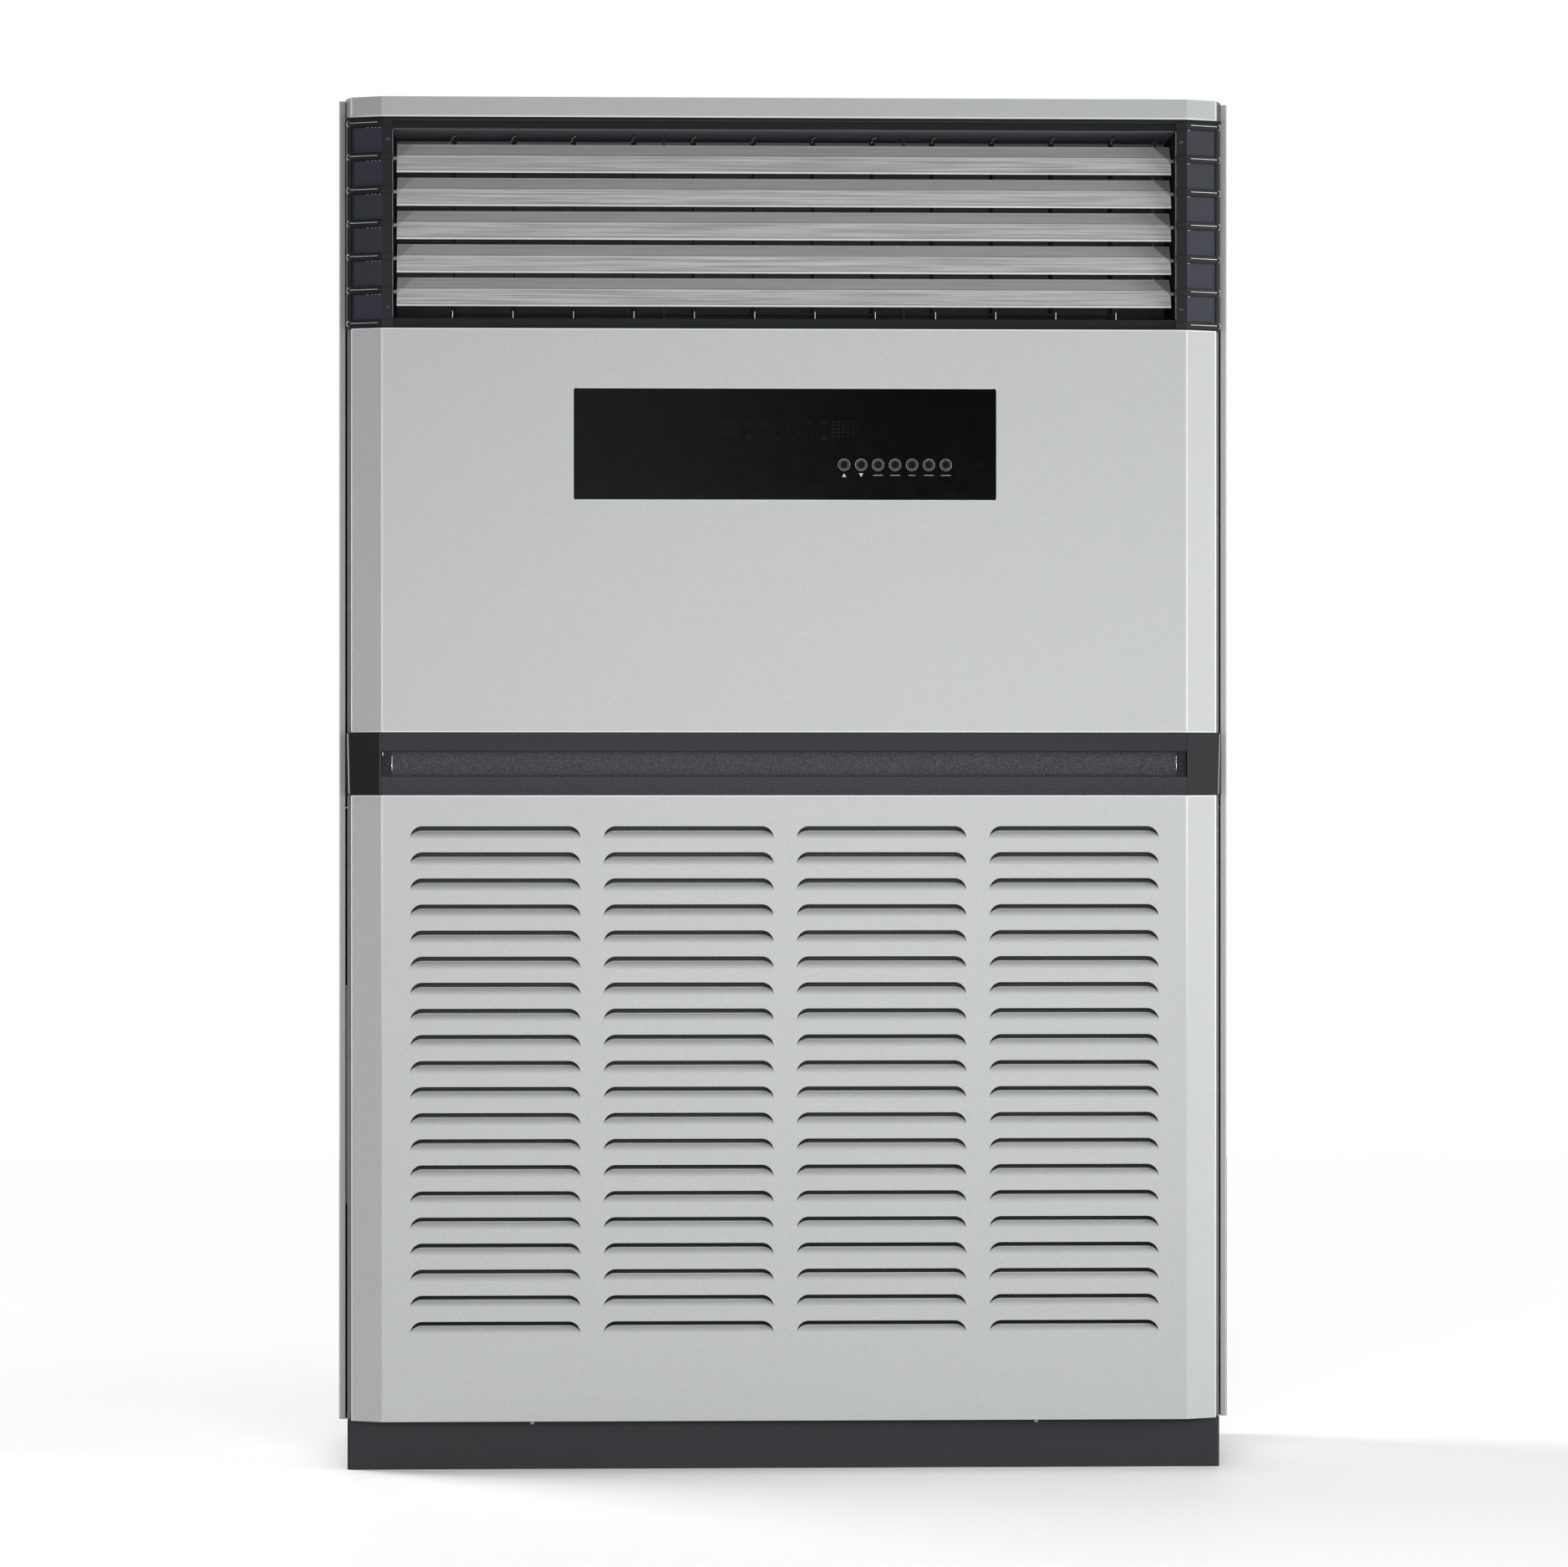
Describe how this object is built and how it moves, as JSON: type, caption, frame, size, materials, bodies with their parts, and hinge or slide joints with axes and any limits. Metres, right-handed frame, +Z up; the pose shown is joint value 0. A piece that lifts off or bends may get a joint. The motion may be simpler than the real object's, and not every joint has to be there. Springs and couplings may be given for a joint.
{
  "type": "floor standing air conditioner",
  "caption": "Tall floor standing air conditioner cabinet in light grey with a dark trim strip, louvred lower intake, display window and a wide top outlet with tilting vanes.",
  "frame": {"origin": "middle of the footprint at floor level", "axes": "+Z up, front faces -Y, +X to the right hand of someone looking at the front"},
  "size_m": [1.204, 0.42, 1.85],
  "materials": {
    "cabinet_paint": "light grey textured powder coat",
    "plinth_paint": "dark grey textured powder coat",
    "speckled_trim": "dark grey plastic with a coarse speckle",
    "dark_trim": "dark grey moulded plastic",
    "vane_plastic": "satin grey plastic",
    "blade_plastic": "mid grey plastic",
    "smoked_window": "gloss black display window",
    "button_plastic": "gloss black button",
    "inner_plastic": "black moulded plastic",
    "board_green": "solder-masked circuit board",
    "zinc_sheet": "galvanised sheet",
    "turned_steel": "turned steel shaft",
    "motor_paint": "grey enamel on the motor shell",
    "coil_fins": "aluminium fins",
    "copper_tube": "bright copper tube",
    "filter_mesh": "woven plastic filter mesh",
    "screw_steel": "zinc-plated screw heads"
  },
  "bodies": {
    "cabinet": {"base_frame": "plinth_paint", "right_side_panel": "cabinet_paint", "left_side_panel": "cabinet_paint", "front_posts": "plinth_paint", "rear_panel": "zinc_sheet", "top_cover": "cabinet_paint", "upper_front_panel": "cabinet_paint", "intake_panel": "cabinet_paint", "middle_trim_strip": "speckled_trim", "right_trim_cap": "dark_trim", "left_trim_cap": "dark_trim", "outlet_frame": "dark_trim", "right_outlet_corner": "dark_trim", "left_outlet_corner": "dark_trim", "outlet_mullions": "dark_trim", "swing_motor": "inner_plastic", "display_window": "smoked_window", "display_housing": "inner_plastic", "display_board": "board_green", "blower_deck": "zinc_sheet", "left_blower_scroll": "zinc_sheet", "right_blower_scroll": "zinc_sheet", "fan_motor": "motor_paint", "motor_stand": "zinc_sheet", "evaporator_coil": "coil_fins", "coil_tubes": "copper_tube", "drain_pan": "zinc_sheet", "refrigerant_pipes": "copper_tube", "air_filters": "filter_mesh", "control_box": "zinc_sheet", "panel_screws": "screw_steel"},
    "vane_1_body": {"vane_1": "vane_plastic"},
    "vane_2_body": {"vane_2": "vane_plastic"},
    "vane_3_body": {"vane_3": "vane_plastic"},
    "vane_4_body": {"vane_4": "vane_plastic"},
    "vane_5_body": {"vane_5": "vane_plastic"},
    "vane_link": {"vane_link_bar": "blade_plastic"},
    "blade_1_body": {"blade_1": "blade_plastic"},
    "blade_2_body": {"blade_2": "blade_plastic"},
    "blade_3_body": {"blade_3": "blade_plastic"},
    "blade_4_body": {"blade_4": "blade_plastic"},
    "blade_5_body": {"blade_5": "blade_plastic"},
    "blade_6_body": {"blade_6": "blade_plastic"},
    "blade_7_body": {"blade_7": "blade_plastic"},
    "blade_8_body": {"blade_8": "blade_plastic"},
    "blade_9_body": {"blade_9": "blade_plastic"},
    "blade_10_body": {"blade_10": "blade_plastic"},
    "blade_11_body": {"blade_11": "blade_plastic"},
    "blade_12_body": {"blade_12": "blade_plastic"},
    "blade_link": {"blade_link_bar": "blade_plastic"},
    "fan_rotor": {"fan_shaft": "turned_steel", "left_fan_wheel": "inner_plastic", "right_fan_wheel": "inner_plastic"},
    "button_1_body": {"button_1": "button_plastic"},
    "button_2_body": {"button_2": "button_plastic"},
    "button_3_body": {"button_3": "button_plastic"},
    "button_4_body": {"button_4": "button_plastic"},
    "button_5_body": {"button_5": "button_plastic"},
    "button_6_body": {"button_6": "button_plastic"},
    "button_7_body": {"button_7": "button_plastic"}
  },
  "joints": [
    {"name": "vane_1_tilt", "type": "hinge", "parent": "cabinet", "child": "vane_1_body", "pos_m": [0, -0.18, 1.76975], "axis": [-1, 0, 0], "range_deg": [-3, 65]},
    {"name": "vane_2_tilt", "type": "hinge", "parent": "cabinet", "child": "vane_2_body", "pos_m": [0, -0.18, 1.72475], "axis": [-1, 0, 0], "range_deg": [-3, 65]},
    {"name": "vane_3_tilt", "type": "hinge", "parent": "cabinet", "child": "vane_3_body", "pos_m": [0, -0.18, 1.67975], "axis": [-1, 0, 0], "range_deg": [-3, 65]},
    {"name": "vane_4_tilt", "type": "hinge", "parent": "cabinet", "child": "vane_4_body", "pos_m": [0, -0.18, 1.63475], "axis": [-1, 0, 0], "range_deg": [-3, 65]},
    {"name": "vane_5_tilt", "type": "hinge", "parent": "cabinet", "child": "vane_5_body", "pos_m": [0, -0.18, 1.58975], "axis": [-1, 0, 0], "range_deg": [-3, 65]},
    {"name": "vane_link_hang", "type": "hinge", "parent": "vane_1_body", "child": "vane_link", "pos_m": [0.505, -0.156, 1.79375], "axis": [-1, 0, 0], "range_deg": [-65, 3]},
    {"name": "blade_1_swing", "type": "hinge", "parent": "cabinet", "child": "blade_1_body", "pos_m": [-0.44825, -0.11, 1.67975], "axis": [0, 0, 1], "range_deg": [-40, 40]},
    {"name": "blade_2_swing", "type": "hinge", "parent": "cabinet", "child": "blade_2_body", "pos_m": [-0.36675, -0.11, 1.67975], "axis": [0, 0, 1], "range_deg": [-40, 40]},
    {"name": "blade_3_swing", "type": "hinge", "parent": "cabinet", "child": "blade_3_body", "pos_m": [-0.28525, -0.11, 1.67975], "axis": [0, 0, 1], "range_deg": [-40, 40]},
    {"name": "blade_4_swing", "type": "hinge", "parent": "cabinet", "child": "blade_4_body", "pos_m": [-0.20375, -0.11, 1.67975], "axis": [0, 0, 1], "range_deg": [-40, 40]},
    {"name": "blade_5_swing", "type": "hinge", "parent": "cabinet", "child": "blade_5_body", "pos_m": [-0.12225, -0.11, 1.67975], "axis": [0, 0, 1], "range_deg": [-40, 40]},
    {"name": "blade_6_swing", "type": "hinge", "parent": "cabinet", "child": "blade_6_body", "pos_m": [-0.04075, -0.11, 1.67975], "axis": [0, 0, 1], "range_deg": [-40, 40]},
    {"name": "blade_7_swing", "type": "hinge", "parent": "cabinet", "child": "blade_7_body", "pos_m": [0.04075, -0.11, 1.67975], "axis": [0, 0, 1], "range_deg": [-40, 40]},
    {"name": "blade_8_swing", "type": "hinge", "parent": "cabinet", "child": "blade_8_body", "pos_m": [0.12225, -0.11, 1.67975], "axis": [0, 0, 1], "range_deg": [-40, 40]},
    {"name": "blade_9_swing", "type": "hinge", "parent": "cabinet", "child": "blade_9_body", "pos_m": [0.20375, -0.11, 1.67975], "axis": [0, 0, 1], "range_deg": [-40, 40]},
    {"name": "blade_10_swing", "type": "hinge", "parent": "cabinet", "child": "blade_10_body", "pos_m": [0.28525, -0.11, 1.67975], "axis": [0, 0, 1], "range_deg": [-40, 40]},
    {"name": "blade_11_swing", "type": "hinge", "parent": "cabinet", "child": "blade_11_body", "pos_m": [0.36675, -0.11, 1.67975], "axis": [0, 0, 1], "range_deg": [-40, 40]},
    {"name": "blade_12_swing", "type": "hinge", "parent": "cabinet", "child": "blade_12_body", "pos_m": [0.44825, -0.11, 1.67975], "axis": [0, 0, 1], "range_deg": [-40, 40]},
    {"name": "blade_link_slide_round", "type": "hinge", "parent": "blade_1_body", "child": "blade_link", "pos_m": [-0.44825, -0.132, 1.5675], "axis": [0, 0, 1], "range_deg": [-40, 40]},
    {"name": "fan_spin", "type": "hinge", "parent": "cabinet", "child": "fan_rotor", "pos_m": [0, 0.014, 0.5], "axis": [1, 0, 0], "continuous": true},
    {"name": "button_1_press", "type": "slide", "parent": "cabinet", "child": "button_1_body", "axis": [0, 1, 0], "range_m": [0, 0.001], "stiffness_N_per_m": 800, "springref_m": -0.0005},
    {"name": "button_2_press", "type": "slide", "parent": "cabinet", "child": "button_2_body", "axis": [0, 1, 0], "range_m": [0, 0.001], "stiffness_N_per_m": 800, "springref_m": -0.0005},
    {"name": "button_3_press", "type": "slide", "parent": "cabinet", "child": "button_3_body", "axis": [0, 1, 0], "range_m": [0, 0.001], "stiffness_N_per_m": 800, "springref_m": -0.0005},
    {"name": "button_4_press", "type": "slide", "parent": "cabinet", "child": "button_4_body", "axis": [0, 1, 0], "range_m": [0, 0.001], "stiffness_N_per_m": 800, "springref_m": -0.0005},
    {"name": "button_5_press", "type": "slide", "parent": "cabinet", "child": "button_5_body", "axis": [0, 1, 0], "range_m": [0, 0.001], "stiffness_N_per_m": 800, "springref_m": -0.0005},
    {"name": "button_6_press", "type": "slide", "parent": "cabinet", "child": "button_6_body", "axis": [0, 1, 0], "range_m": [0, 0.001], "stiffness_N_per_m": 800, "springref_m": -0.0005},
    {"name": "button_7_press", "type": "slide", "parent": "cabinet", "child": "button_7_body", "axis": [0, 1, 0], "range_m": [0, 0.001], "stiffness_N_per_m": 800, "springref_m": -0.0005}
  ],
  "couplings": [
    {"joint": "vane_2_tilt", "follows": "vane_1_tilt", "ratio": 1},
    {"joint": "vane_3_tilt", "follows": "vane_1_tilt", "ratio": 1},
    {"joint": "vane_4_tilt", "follows": "vane_1_tilt", "ratio": 1},
    {"joint": "vane_5_tilt", "follows": "vane_1_tilt", "ratio": 1},
    {"joint": "vane_link_hang", "follows": "vane_1_tilt", "ratio": -1},
    {"joint": "blade_2_swing", "follows": "blade_1_swing", "ratio": 1},
    {"joint": "blade_3_swing", "follows": "blade_1_swing", "ratio": 1},
    {"joint": "blade_4_swing", "follows": "blade_1_swing", "ratio": 1},
    {"joint": "blade_5_swing", "follows": "blade_1_swing", "ratio": 1},
    {"joint": "blade_6_swing", "follows": "blade_1_swing", "ratio": 1},
    {"joint": "blade_7_swing", "follows": "blade_1_swing", "ratio": 1},
    {"joint": "blade_8_swing", "follows": "blade_1_swing", "ratio": 1},
    {"joint": "blade_9_swing", "follows": "blade_1_swing", "ratio": 1},
    {"joint": "blade_10_swing", "follows": "blade_1_swing", "ratio": 1},
    {"joint": "blade_11_swing", "follows": "blade_1_swing", "ratio": 1},
    {"joint": "blade_12_swing", "follows": "blade_1_swing", "ratio": 1},
    {"joint": "blade_link_slide_round", "follows": "blade_1_swing", "ratio": -1}
  ]
}
